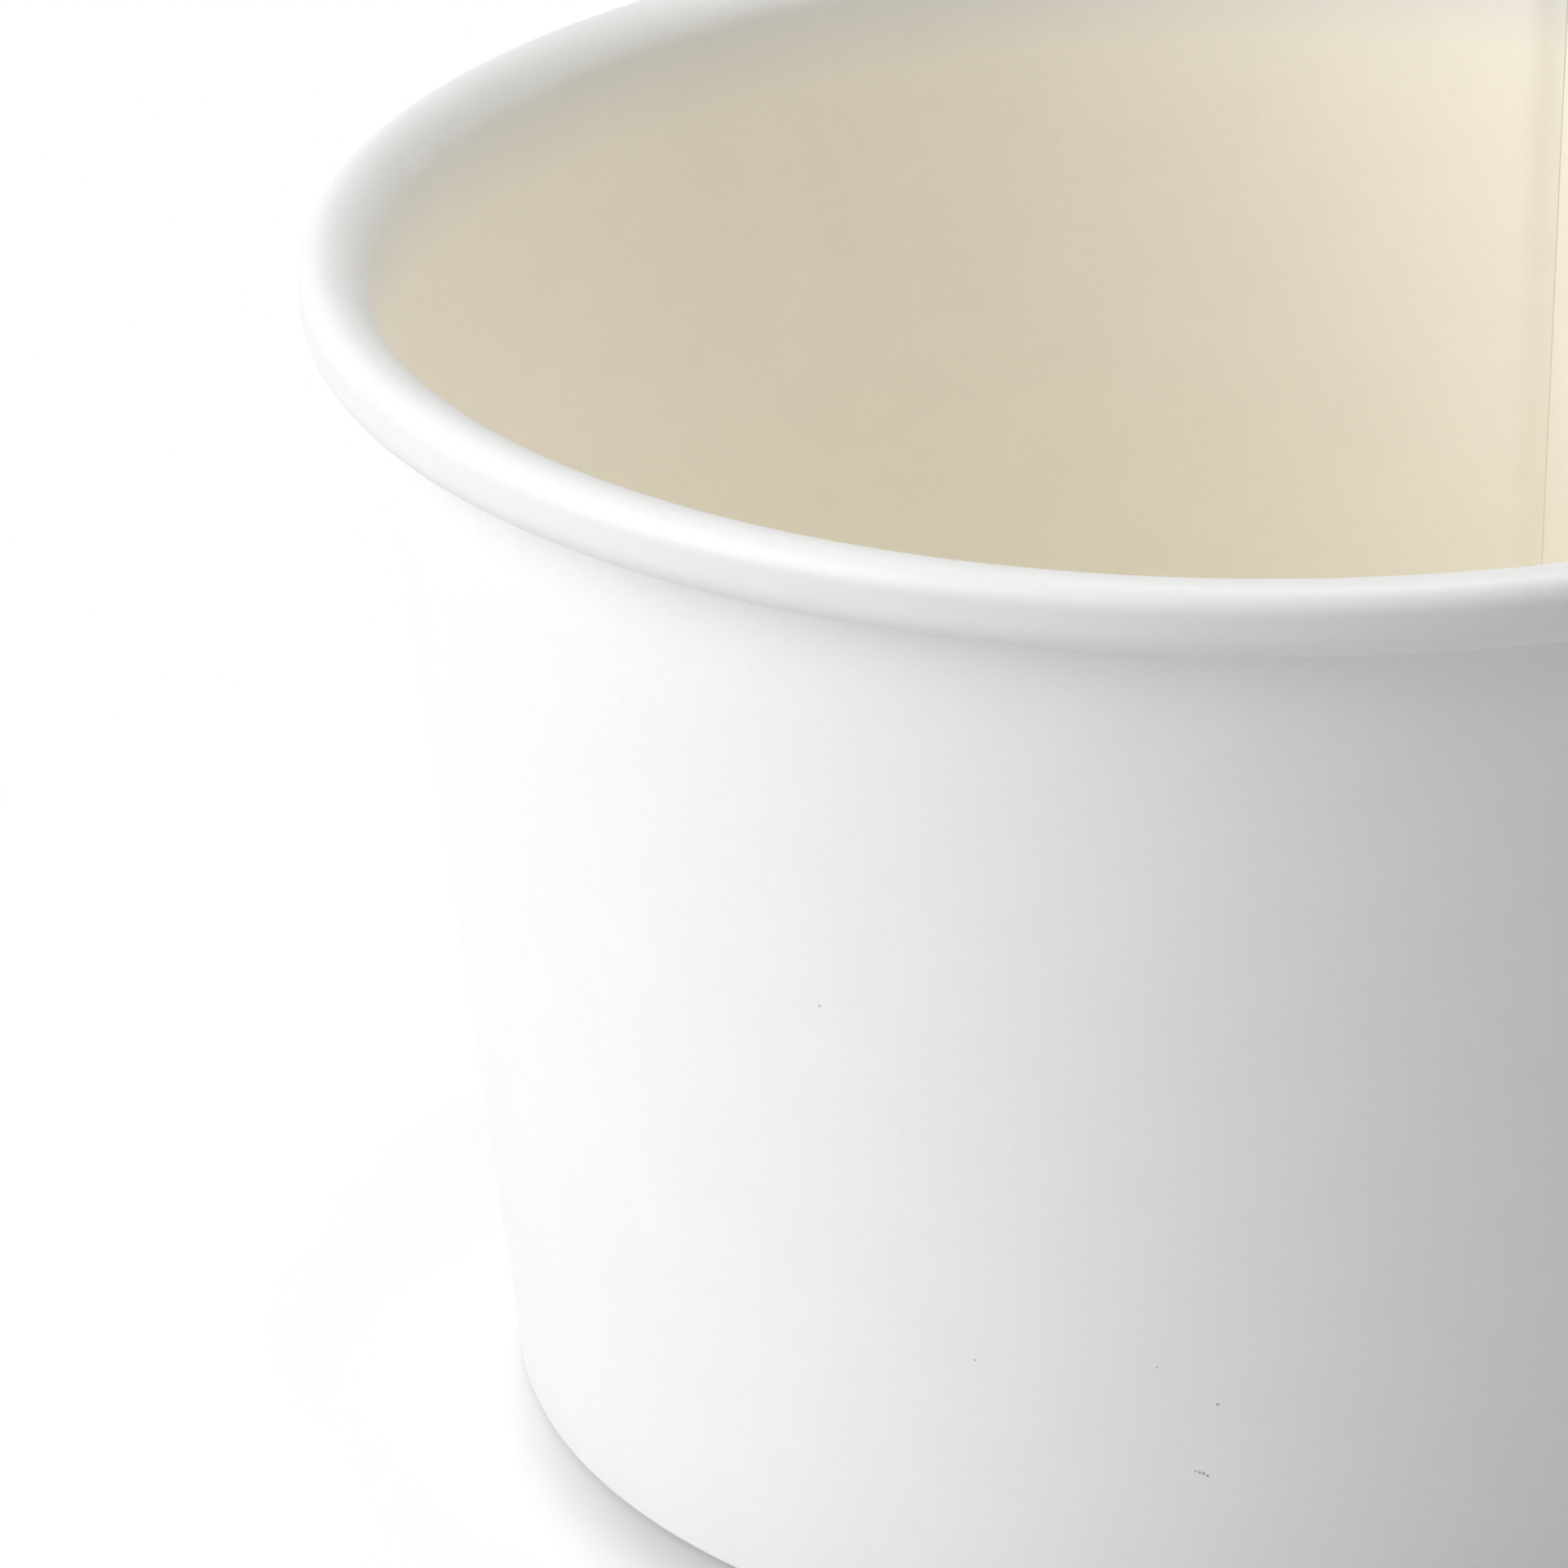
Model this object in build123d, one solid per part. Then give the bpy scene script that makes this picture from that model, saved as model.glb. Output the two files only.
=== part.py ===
from build123d import *
from math import asin, atan2, cos, degrees, hypot, pi, sin
import os

# Paper sundae cup, in millimetres. The origin is the centre of the base and +Z is the
# cup's axis. The side seam is at the back, on +Y. Each piece is cut from coated board:
# the side wall is a fan-shaped blank wound once round, lapped, curled at the rim and
# hemmed at the foot, and the bottom is a disc with its edge turned down into the hem.

# Overall sizes
RIM_DIAMETER = 96.0  # over the rolled rim
BASE_DIAMETER = 78.0  # over the wall, where it meets the base plane
HEIGHT = 60.0  # base plane to the top of the rim

# Board
WALL_BOARD = 0.38
BOTTOM_BOARD = 0.32

# Rolled rim: the board bends outwards, drops, and curls under with its edge inside
RIM_EASE_RADIUS = 2.2  # the easy bend from the wall up to the crest
RIM_CREST_RADIUS = 1.3  # the tighter bend from the crest down
RIM_DROP = 0.8  # straight down the outside of the roll
RIM_TUCK = 15.0  # degrees that the cut edge turns on past the wall's own lean
RIM_CLEARANCE = 0.1  # between the curl and the wall beside it

# Side seam: the outer flap lies on the inner one and is glued to it
LAP_WIDTH = 7.0  # at the base
EASE_WIDTH = 2.5  # over which the board steps out by its own thickness

# Foot: the wall is hemmed inwards and up, round the skirt of the bottom
RECESS_DEPTH = 7.0  # base plane to the underside of the bottom
HEM_CLEARANCE = 1.4  # cut edge of the hem to the underside of the bottom
FOLD_RADIUS = 0.1  # inside the hem's two fold lines
SKIRT_CLEARANCE = 0.04  # each face of the skirt to the board beside it
SKIRT_END_CLEARANCE = 0.25  # cut edge of the skirt to the board below it
BEND_RADIUS = 0.6  # inside the bend from the bottom to its skirt

# Where the seam lies round the cup, in degrees from +X towards +Y
BASE_RADIUS = BASE_DIAMETER / 2
SEAM_CENTRE = 90.0
LAP_ANGLE = degrees(LAP_WIDTH / BASE_RADIUS)
EASE_ANGLE = degrees(EASE_WIDTH / BASE_RADIUS)
INNER_EDGE = SEAM_CENTRE - LAP_ANGLE / 2
OUTER_EDGE = SEAM_CENTRE + LAP_ANGLE / 2

# The wall's outer face runs from the base circle and ends tangent to the rim's bend
RIM_RADIUS = RIM_DIAMETER / 2
EASE_CENTRE = Vector(RIM_RADIUS - RIM_CREST_RADIUS, HEIGHT - RIM_EASE_RADIUS)
RUN = EASE_CENTRE.X - BASE_RADIUS
TANGENT = asin((RIM_EASE_RADIUS - WALL_BOARD) / hypot(RUN, EASE_CENTRE.Y))
TAPER = pi / 2 - atan2(EASE_CENTRE.Y, RUN) - TANGENT  # from the vertical, in radians

UP = Vector(sin(TAPER), cos(TAPER))  # up along the wall, as (radius, height)
INWARD = Vector(-cos(TAPER), sin(TAPER))  # square to the wall, towards the axis
WALL_FOOT = Vector(BASE_RADIUS, 0) + INWARD * WALL_BOARD  # on the wall's inner face


def wall_inner_radius(height):
    """Radius of the wall's inner face at a height."""
    return WALL_FOOT.X + (height - WALL_FOOT.Y) * UP.X / UP.Y


def curl_radius(room):
    """Radius of the curl under the rim that brings the board back beside the wall."""
    widest = Vector(RIM_RADIUS, HEIGHT - RIM_CREST_RADIUS - RIM_DROP)
    from_wall = (WALL_FOOT - widest).dot(INWARD)
    return (from_wall - room * WALL_BOARD - RIM_CLEARANCE) / (1 + UP.Y)


class Path:
    """One face of the board as lines and tangent arcs, in (radius, height).

    The offset is how far the face lies outside the cup's own inner face.
    """

    def __init__(self, start, heading, offset):
        self.point = start
        self.heading = heading  # degrees from the radial direction
        self.offset = offset
        self.edges = []
        self.ends = [self.shifted(start)]

    def shifted(self, point):
        """The point on this face that lies square across from one on the inner face."""
        across = Vector(1, 0).rotate(Axis.Z, self.heading - 90)
        return point + across * self.offset

    def line(self, length):
        """Run straight on."""
        self.point += Vector(1, 0).rotate(Axis.Z, self.heading) * length
        self._close(None)

    def arc(self, radius, turn):
        """Turn by an angle, positive to the left; radius is at the cup's inner face."""
        side = 1 if turn > 0 else -1
        centre = self.point + Vector(1, 0).rotate(Axis.Z, self.heading + side * 90) * radius
        own = radius + side * self.offset
        spoke = (self.point - centre).normalized()
        middle = centre + spoke.rotate(Axis.Z, turn / 2) * own
        self.point = centre + spoke.rotate(Axis.Z, turn) * radius
        self.heading += turn
        self._close(middle)

    def _close(self, middle):
        """Add the edge that ends at the present point, curved if it has a middle."""
        start = self.ends[-1]
        end = self.shifted(self.point)
        self.ends.append(end)
        self.edges.append(ThreePointArc(start, middle, end) if middle else Line(start, end))


def board_face_path(room, layer):
    """The path of one face of the wall board, from the hem's cut edge to the curl's.

    room is how many layers the curl and the foot leave space for, and layer counts
    board thicknesses from the cup's inner face to this face.
    """
    outside = room * WALL_BOARD
    gap = BOTTOM_BOARD + 2 * SKIRT_CLEARANCE
    fold_height = FOLD_RADIUS + outside
    flat = (gap - 2 * FOLD_RADIUS) / UP.Y
    climb = (fold_height - WALL_FOOT.Y - FOLD_RADIUS * INWARD.Y) / UP.Y
    wall_start = WALL_FOOT + UP * climb
    fold_outer = wall_start + INWARD * FOLD_RADIUS
    fold_inner = fold_outer - Vector(flat, 0)
    hem_foot = fold_inner + INWARD * FOLD_RADIUS
    hem_length = (RECESS_DEPTH - HEM_CLEARANCE - hem_foot.Y) / UP.Y
    wall_end = EASE_CENTRE + INWARD * RIM_EASE_RADIUS
    lean = degrees(TAPER)

    path = Path(hem_foot + UP * hem_length, 270 - lean, layer * WALL_BOARD)
    path.line(hem_length)
    path.arc(FOLD_RADIUS, 90 + lean)
    path.line(flat)
    path.arc(FOLD_RADIUS, 90 - lean)
    path.line((wall_end - wall_start).length)
    path.arc(RIM_EASE_RADIUS, lean - 90)
    path.arc(RIM_CREST_RADIUS, -90)
    path.line(RIM_DROP)
    path.arc(curl_radius(room), -(180 + lean + RIM_TUCK))
    return path


def board_section(angle, room, first_layer, last_layer):
    """The board's section, between two faces, in the half plane at an angle round Z."""
    inner = board_face_path(room, first_layer)
    outer = board_face_path(room, last_layer)
    caps = [Line(inner.ends[i], outer.ends[i]) for i in (0, -1)]
    outline = Wire(inner.edges + outer.edges + caps)
    across = Vector(1, 0, 0).rotate(Axis.Z, angle)
    plane = Plane(origin=(0, 0, 0), x_dir=across, z_dir=across.cross(Vector(0, 0, 1)))
    return plane * Face(outline)


def swept(section, degrees_round):
    """A section of the wall turned about the cup's axis."""
    return revolve(section, axis=Axis.Z, revolution_arc=degrees_round)


def make_side_wall():
    """The wall blank, wound, lapped, curled and hemmed, as one piece of board."""
    round_start = OUTER_EDGE + EASE_ANGLE
    round_end = INNER_EDGE - EASE_ANGLE + 360
    plain = swept(board_section(round_start, 1, 0, 1), round_end - round_start)
    lap = swept(board_section(INNER_EDGE, 2, 0, 2), LAP_ANGLE)
    # the outer flap steps out to clear the inner flap's cut edge
    step_out = loft(
        [board_section(INNER_EDGE - EASE_ANGLE, 1, 0, 1), board_section(INNER_EDGE, 2, 1, 2)],
        ruled=True,
    )
    # the inner flap's curl and foot draw in to make room for the outer flap
    draw_in = loft(
        [board_section(OUTER_EDGE, 2, 0, 1), board_section(round_start, 1, 0, 1)],
        ruled=True,
    )
    return plain + lap + step_out + draw_in


def make_bottom_disc():
    """The bottom, with its edge bent down to a skirt that lies along the wall."""
    top = RECESS_DEPTH + BOTTOM_BOARD
    outer_bend = BEND_RADIUS + BOTTOM_BOARD
    skirt_end = 2 * WALL_BOARD + SKIRT_END_CLEARANCE
    seat = SKIRT_CLEARANCE / UP.Y
    # the bend's centre is one outer bend radius in from the skirt's outer face
    bend_height = RECESS_DEPTH - BEND_RADIUS
    bend_radius_in = wall_inner_radius(bend_height) - seat - outer_bend / UP.Y
    bend_centre = Vector(bend_radius_in, bend_height)
    outer_tangent = bend_centre - INWARD * outer_bend
    inner_tangent = bend_centre - INWARD * BEND_RADIUS
    half_way = Vector(0, 1).rotate(Axis.Z, -(90 + degrees(TAPER)) / 2)
    outer_foot = outer_tangent - UP * ((outer_tangent.Y - skirt_end) / UP.Y)
    inner_foot = outer_foot + INWARD * BOTTOM_BOARD
    outline = [
        Line((0, top), (bend_centre.X, top)),
        ThreePointArc((bend_centre.X, top), bend_centre + half_way * outer_bend, outer_tangent),
        Line(outer_tangent, outer_foot),
        Line(outer_foot, inner_foot),
        Line(inner_foot, inner_tangent),
        ThreePointArc(
            inner_tangent,
            bend_centre + half_way * BEND_RADIUS,
            (bend_centre.X, RECESS_DEPTH),
        ),
        Line((bend_centre.X, RECESS_DEPTH), (0, RECESS_DEPTH)),
        Line((0, RECESS_DEPTH), (0, top)),
    ]
    return revolve(Plane.XZ * Face(Wire(outline)), axis=Axis.Z)


os.makedirs("parts", exist_ok=True)
export_step(make_side_wall(), "parts/side_wall.step")
export_step(make_bottom_disc(), "parts/bottom_disc.step")
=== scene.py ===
"""Paper sundae cup: a wall of lined board, wound, lapped, rolled and hemmed, on a sunk bottom.

Every length is in metres. The origin is the centre of the base and +Z is the cup's axis.
"""

import logging
from dataclasses import dataclass, field
from enum import Enum
from math import asin, atan2, cos, hypot, pi, radians, sin, tau

import bmesh
import bpy
from mathutils import Matrix, Vector


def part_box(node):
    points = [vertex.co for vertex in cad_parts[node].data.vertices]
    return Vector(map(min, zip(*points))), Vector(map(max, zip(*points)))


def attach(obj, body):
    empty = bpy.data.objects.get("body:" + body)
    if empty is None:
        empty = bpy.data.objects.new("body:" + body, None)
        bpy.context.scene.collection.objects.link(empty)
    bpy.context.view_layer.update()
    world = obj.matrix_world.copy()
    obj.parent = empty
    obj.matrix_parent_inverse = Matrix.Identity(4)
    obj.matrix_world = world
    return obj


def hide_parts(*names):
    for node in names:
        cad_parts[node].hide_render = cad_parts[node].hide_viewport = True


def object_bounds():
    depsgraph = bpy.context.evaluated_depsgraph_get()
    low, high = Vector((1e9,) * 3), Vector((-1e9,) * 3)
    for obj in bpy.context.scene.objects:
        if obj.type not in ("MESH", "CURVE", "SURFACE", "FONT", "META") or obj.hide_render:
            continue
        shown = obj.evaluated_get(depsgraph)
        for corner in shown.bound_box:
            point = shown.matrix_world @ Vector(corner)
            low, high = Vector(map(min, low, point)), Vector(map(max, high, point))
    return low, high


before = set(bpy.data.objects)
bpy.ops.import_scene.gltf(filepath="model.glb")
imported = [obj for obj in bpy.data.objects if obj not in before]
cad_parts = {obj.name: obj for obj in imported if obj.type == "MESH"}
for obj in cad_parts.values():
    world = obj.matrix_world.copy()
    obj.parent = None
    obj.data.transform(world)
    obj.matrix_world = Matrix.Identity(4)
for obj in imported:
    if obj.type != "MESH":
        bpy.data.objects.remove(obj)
CAD_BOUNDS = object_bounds()

MM = 0.001
BODY = "root"
SHARP_ANGLE = radians(50)  # the board's cut edges are sharper than this, its folds are rounder
log = logging.getLogger("sundae_cup")

# the mix node's colour sockets, which share their names with its other kinds
MIX_FIRST_COLOUR, MIX_SECOND_COLOUR, MIX_COLOUR = 6, 7, 2

NodeValue = bpy.types.NodeSocket | float | int | bool | str | tuple | bpy.types.Material


def linear(hex_colour: str) -> tuple[float, float, float, float]:
    """Turns an sRGB hex colour to linear RGBA.

    Args:
        hex_colour: six hex digits after a #.

    Returns:
        The linear colour, with an alpha of 1.
    """
    channels = (int(hex_colour[i : i + 2], 16) / 255 for i in (1, 3, 5))
    red, green, blue = (
        c / 12.92 if c <= 0.04045 else ((c + 0.055) / 1.055) ** 2.4 for c in channels
    )
    return red, green, blue, 1.0


def add_node(
    tree: bpy.types.NodeTree,
    kind: str,
    inputs: dict[str | int, NodeValue] | None = None,
    **settings: object,
) -> bpy.types.Node:
    """Adds a node with its settings, values and links.

    Args:
        tree: the tree that gets the node.
        kind: the node's type.
        inputs: for each input, by name or number, a value, or the output that is linked to it.
        settings: the node's own properties.

    Returns:
        The new node.
    """
    node = tree.nodes.new(kind)
    for name, value in settings.items():
        setattr(node, name, value)
    for key, value in (inputs or {}).items():
        if isinstance(value, bpy.types.NodeSocket):
            tree.links.new(value, node.inputs[key])
        else:
            node.inputs[key].default_value = value
    return node


class Carried(str, Enum):
    """Names of the values that the board's points and corners carry."""

    LINING = "lining"  # how much of the film's tint shows
    ALONG = "along"  # distance along the board from the hem's cut edge
    ACROSS = "across"  # direction square to the board, towards its outer face
    SPREAD = "spread"  # how far the board moves to leave room for a second layer
    THICKNESS = "thickness"  # from the inner face to the outer one
    UV = "UVMap"


def scaled(
    tree: bpy.types.NodeTree, vector: NodeValue, share: bpy.types.NodeSocket
) -> bpy.types.NodeSocket:
    """A colour or vector times a number.

    Args:
        tree: the tree that gets the node.
        vector: three numbers, or the output that gives them.
        share: what they are multiplied by.

    Returns:
        The result.
    """
    node = add_node(tree, "ShaderNodeVectorMath", {0: vector, "Scale": share}, operation="SCALE")
    return node.outputs["Vector"]


# ---------------------------------------------------------------- materials


@dataclass(frozen=True)
class Fibre:
    """The fibre that shows through a board's surface.

    The mottle is the cloudiness of the pulp, a few millimetres across. The grain is the fibres
    themselves, which are 0.03 mm wide, drawn coarser so that they show.
    """

    mottle: float = 5.0 * MM
    mottle_detail: float = 3.0
    mottle_depth: float = 0.012
    grain: float = 0.28 * MM
    grain_detail: float = 4.0
    grain_depth: float = 0.015
    relief: float = 0.0035 * MM


@dataclass(frozen=True)
class Speck:
    """A dark fleck of bark or carbon in the pulp, on the outside of the wall.

    Attributes:
        angle: in degrees from +X towards +Y.
        height: above the base plane.
        radius: of the fleck.
        darkness: the share of the board's colour that it takes off.
    """

    angle: float
    height: float
    radius: float
    darkness: float


@dataclass(frozen=True)
class Board:
    """Paperboard made of bleached pulp, with one face as it comes off its finish.

    Attributes:
        name: the material's name.
        colour: sRGB of the face.
        roughness: of the finish, about 0.4 for extruded film, 0.5 for clay coating, 0.75 for bare
            board and 0.9 for a raw cut.
        fibre: how the pulp shows.
        painted_shade_roll_colour: sRGB of the face where the lining fades out, if it does, greyed
            as painted shade.
        specks: flecks in the pulp.
        ior: of the coating or film, 1.5 for clay binder, cellulose and polyethylene alike.
    """

    name: str
    colour: str
    roughness: float
    fibre: Fibre = Fibre()
    painted_shade_roll_colour: str | None = None
    specks: tuple[Speck, ...] = ()
    ior: float = 1.5

    def build(self) -> bpy.types.Material:
        """Makes the material: a dielectric with pulp mottle, fibre grain and a fine relief.

        Returns:
            The material.
        """
        material = bpy.data.materials.new(self.name)
        material.use_nodes = True
        tree = material.node_tree
        tree.nodes.clear()
        place = add_node(tree, "ShaderNodeTexCoord").outputs["Object"]
        colour = self._face_colour(tree, place)
        fibre = self.fibre
        mottle = self._noise(tree, place, fibre.mottle, fibre.mottle_detail)
        grain = self._noise(tree, place, fibre.grain, fibre.grain_detail)
        colour = self._shaded(tree, colour, mottle, fibre.mottle_depth)
        colour = self._shaded(tree, colour, grain, fibre.grain_depth)
        bump = add_node(
            tree,
            "ShaderNodeBump",
            {"Strength": 1.0, "Distance": fibre.relief, "Height": grain},
        )
        shader = add_node(
            tree,
            "ShaderNodeBsdfPrincipled",
            {
                "Base Color": colour,
                "Roughness": self.roughness,
                "IOR": self.ior,
                "Normal": bump.outputs["Normal"],
            },
        )
        add_node(tree, "ShaderNodeOutputMaterial", {"Surface": shader.outputs["BSDF"]})
        return material

    def _noise(
        self, tree: bpy.types.NodeTree, place: bpy.types.NodeSocket, size: float, detail: float
    ) -> bpy.types.NodeSocket:
        """Noise whose lumps are about a size across.

        Args:
            tree: the material's tree.
            place: the point.
            size: of the lumps.
            detail: how many finer layers are laid over them.

        Returns:
            The noise, from 0 to 1, mostly near its middle.
        """
        noise = add_node(
            tree,
            "ShaderNodeTexNoise",
            {"Vector": place, "Scale": 1 / size, "Detail": detail, "Roughness": 0.6},
        )
        return noise.outputs["Fac"]

    def _shaded(
        self,
        tree: bpy.types.NodeTree,
        colour: NodeValue,
        pattern: bpy.types.NodeSocket,
        depth: float,
    ) -> bpy.types.NodeSocket:
        """A colour made lighter and darker by a pattern.

        Args:
            tree: the material's tree.
            colour: the colour to shade.
            pattern: noise, most of which lies in the middle half of 0 to 1.
            depth: the share of the colour that the pattern takes off or puts on.

        Returns:
            The shaded colour.
        """
        level = add_node(
            tree,
            "ShaderNodeMapRange",
            {
                "Value": pattern,
                "From Min": 0.25,
                "From Max": 0.75,
                "To Min": 1 - depth,
                "To Max": 1 + depth,
            },
        )
        return scaled(tree, colour, level.outputs["Result"])

    def _face_colour(self, tree: bpy.types.NodeTree, place: bpy.types.NodeSocket) -> NodeValue:
        """The colour of the face, before the pulp shows through it.

        Args:
            tree: the material's tree.
            place: the point.

        Returns:
            The colour, or the output that gives it.
        """
        face = linear(self.colour)[:3]
        # past the lining's fade the face takes the roll colour, a grey that paints shade on the
        # roll
        if self.painted_shade_roll_colour:
            lining = add_node(tree, "ShaderNodeAttribute", attribute_name=Carried.LINING.value)
            blend = add_node(
                tree,
                "ShaderNodeMix",
                {
                    "Factor": lining.outputs["Fac"],
                    MIX_FIRST_COLOUR: linear(self.painted_shade_roll_colour),
                    MIX_SECOND_COLOUR: linear(self.colour),
                },
                data_type="RGBA",
            )
            face = blend.outputs[MIX_COLOUR]
        for speck in self.specks:
            face = self._with_speck(tree, face, place, speck)
        return face

    def _with_speck(
        self,
        tree: bpy.types.NodeTree,
        colour: NodeValue,
        place: bpy.types.NodeSocket,
        speck: Speck,
    ) -> bpy.types.NodeSocket:
        """A colour with one dark fleck in it.

        Args:
            tree: the material's tree.
            colour: the colour round the fleck.
            place: the point.
            speck: the fleck.

        Returns:
            The colour with the fleck.
        """
        centre = WallBlank.on_wall(speck.angle, speck.height)
        gap = add_node(
            tree, "ShaderNodeVectorMath", {0: place, 1: tuple(centre)}, operation="DISTANCE"
        )
        # full dark out to half the radius, then fading to the edge
        level = add_node(
            tree,
            "ShaderNodeMapRange",
            {
                "Value": gap.outputs["Value"],
                "From Min": speck.radius / 2,
                "From Max": speck.radius,
                "To Min": 1 - speck.darkness,
                "To Max": 1.0,
            },
        )
        return scaled(tree, colour, level.outputs["Result"])


# ---------------------------------------------------------------- the wall's board


@dataclass
class SectionLine:
    """A face of the board as a run of points in (radius, height).

    Attributes:
        point: the present end of the line.
        heading: in radians from the radial direction.
        points: all points so far.
        across: for each point, the direction square to the board, towards its right-hand side.
        along: for each point, its distance along the line.
    """

    point: Vector
    heading: float
    points: list[Vector] = field(default_factory=list)
    across: list[Vector] = field(default_factory=list)
    along: list[float] = field(default_factory=list)

    def __post_init__(self) -> None:
        """Keeps the first point."""
        self._keep(0.0)

    def _keep(self, step: float) -> None:
        """Keeps the present point, a step on from the last."""
        self.points.append(self.point.copy())
        self.across.append(Vector((sin(self.heading), -cos(self.heading))))
        self.along.append(self.along[-1] + step if self.along else 0.0)

    def line(self, length: float, steps: int) -> None:
        """Runs straight on.

        Args:
            length: of the run.
            steps: how many points it gets.
        """
        for _ in range(steps):
            self.point += Vector((cos(self.heading), sin(self.heading))) * (length / steps)
            self._keep(length / steps)

    def arc(self, radius: float, turn: float, steps: int) -> None:
        """Turns on an arc.

        Args:
            radius: of the arc.
            turn: angle turned, positive to the left.
            steps: how many points it gets.
        """
        chord = 2 * radius * sin(abs(turn) / steps / 2)
        for _ in range(steps):
            middle = self.heading + turn / steps / 2
            self.point += Vector((cos(middle), sin(middle))) * chord
            self.heading += turn / steps
            self._keep(radius * abs(turn) / steps)


@dataclass(frozen=True)
class SectionSteps:
    """How many points each stretch of the wall's section gets, from the hem to the curl."""

    hem: int = 3
    fold: int = 7
    flat: int = 2
    wall: int = 14
    ease: int = 14
    crest: int = 12
    drop: int = 2
    curl: int = 28


@dataclass
class WallBlank:
    """The side wall: a fan-shaped blank wound once round, lapped, rolled at the rim and hemmed.

    Attributes:
        rim_radius: of the roll's outside.
        height: of the rim's top.
        base_radius: of the wall's outside in the base plane.
        board: the wall board's thickness.
        bottom_board: the bottom board's thickness.
        ease_radius: of the bend from the wall up to the crest.
        crest_radius: of the bend from the crest down.
        rim_drop: straight down the outside of the roll.
        rim_tuck: angle that the curl turns on past the wall's own lean.
        rim_clearance: between the curl and the wall beside it.
        lap_width: at the base, how far the outer flap lies over the inner one.
        ease_width: over which the board steps out by its own thickness.
        fold_radius: inside the hem's two folds.
        hem_top: height of the hem's cut edge.
        skirt_clearance: each face of the bottom's skirt to the board beside it.
        glue_line: between the flaps.
        skive_width: over which the inner flap is thinned to its edge and pressed flat.
        skive_depth: share of the board that is pared away at the edge.
        seam_centre: where the seam lies, from +X towards +Y.
        fade_low: below the rim's top, where the lining's tint starts to fade.
        fade_high: below the rim's top, where it has gone.
        steps: points of the section.
    """

    rim_radius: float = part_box("side_wall")[1].x
    height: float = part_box("side_wall")[1].z
    base_radius: float = 39.0 * MM
    board: float = 0.38 * MM
    bottom_board: float = 0.32 * MM
    ease_radius: float = 2.2 * MM
    crest_radius: float = 1.3 * MM
    rim_drop: float = 0.8 * MM
    rim_tuck: float = radians(15)
    rim_clearance: float = 0.1 * MM
    lap_width: float = 7.0 * MM
    ease_width: float = 2.5 * MM
    fold_radius: float = 0.1 * MM
    hem_top: float = 5.6 * MM
    skirt_clearance: float = 0.04 * MM
    glue_line: float = 0.01 * MM
    skive_width: float = 1.6 * MM
    skive_depth: float = 0.92
    seam_centre: float = radians(90)
    fade_low: float = 5.4 * MM
    fade_high: float = 1.6 * MM
    steps: SectionSteps = SectionSteps()

    @property
    def taper(self) -> float:
        """The wall's lean from the vertical: from the base circle, tangent to the rim's bend."""
        run = self.rim_radius - self.crest_radius - self.base_radius
        rise = self.height - self.ease_radius
        tangent = asin((self.ease_radius - self.board) / hypot(run, rise))
        return pi / 2 - atan2(rise, run) - tangent

    @property
    def up(self) -> Vector:
        """The direction up along the wall, in (radius, height)."""
        return Vector((sin(self.taper), cos(self.taper)))

    @property
    def inward(self) -> Vector:
        """The direction square to the wall towards the axis, in (radius, height)."""
        return Vector((-cos(self.taper), sin(self.taper)))

    @property
    def foot(self) -> Vector:
        """The point of the wall's inner face across from the base circle."""
        return Vector((self.base_radius, 0.0)) + self.inward * self.board

    @classmethod
    def on_wall(cls, angle: float, height: float) -> Vector:
        """A point on the outside of the wall.

        Args:
            angle: degrees from +X towards +Y.
            height: above the base plane.

        Returns:
            The point.
        """
        blank = cls()
        radius = blank.base_radius + height * sin(blank.taper) / cos(blank.taper)
        turn = radians(angle)
        return Vector((radius * cos(turn), radius * sin(turn), height))

    def section(self, room: int) -> SectionLine:
        """The board's inner face, from the hem's cut edge to the curl's.

        Args:
            room: how many layers the curl and the foot leave space for.

        Returns:
            The points, each with its direction across the board.
        """
        lean, up, inward, foot = self.taper, self.up, self.inward, self.foot
        gap = self.bottom_board + 2 * self.skirt_clearance
        flat = (gap - 2 * self.fold_radius) / up.y
        fold_height = self.fold_radius + room * self.board
        wall_start = foot + up * ((fold_height - foot.y - self.fold_radius * inward.y) / up.y)
        hem_foot = wall_start + inward * 2 * self.fold_radius - Vector((flat, 0.0))
        hem = (self.hem_top - hem_foot.y) / up.y
        ease_centre = Vector((self.rim_radius - self.crest_radius, self.height - self.ease_radius))
        wall_end = ease_centre + inward * self.ease_radius
        widest = Vector((self.rim_radius, self.height - self.crest_radius - self.rim_drop))
        from_wall = (foot - widest).dot(inward)
        curl = (from_wall - room * self.board - self.rim_clearance) / (1 + up.y)

        steps = self.steps
        line = SectionLine(hem_foot + up * hem, radians(270) - lean)
        line.line(hem, steps.hem)
        line.arc(self.fold_radius, pi / 2 + lean, steps.fold)
        line.line(flat, steps.flat)
        line.arc(self.fold_radius, pi / 2 - lean, steps.fold)
        line.line((wall_end - wall_start).length, steps.wall)
        line.arc(self.ease_radius, lean - pi / 2, steps.ease)
        line.arc(self.crest_radius, -pi / 2, steps.crest)
        line.line(self.rim_drop, steps.drop)
        line.arc(curl, -(pi + lean + self.rim_tuck), steps.curl)
        return line

    def lining(self, point: Vector, rising: bool) -> float:
        """How much of the film lining's tint a point of the inner face shows.

        Args:
            point: (radius, height).
            rising: whether the point comes before the crest.

        Returns:
            1 on the wall, falling to 0 over the inner side of the roll.
        """
        start = self.height - self.fade_low
        end = self.height - self.fade_high
        share = min(max((point.y - start) / (end - start), 0.0), 1.0)
        return 1 - share * share * (3 - 2 * share) if rising else 0.0

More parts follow.
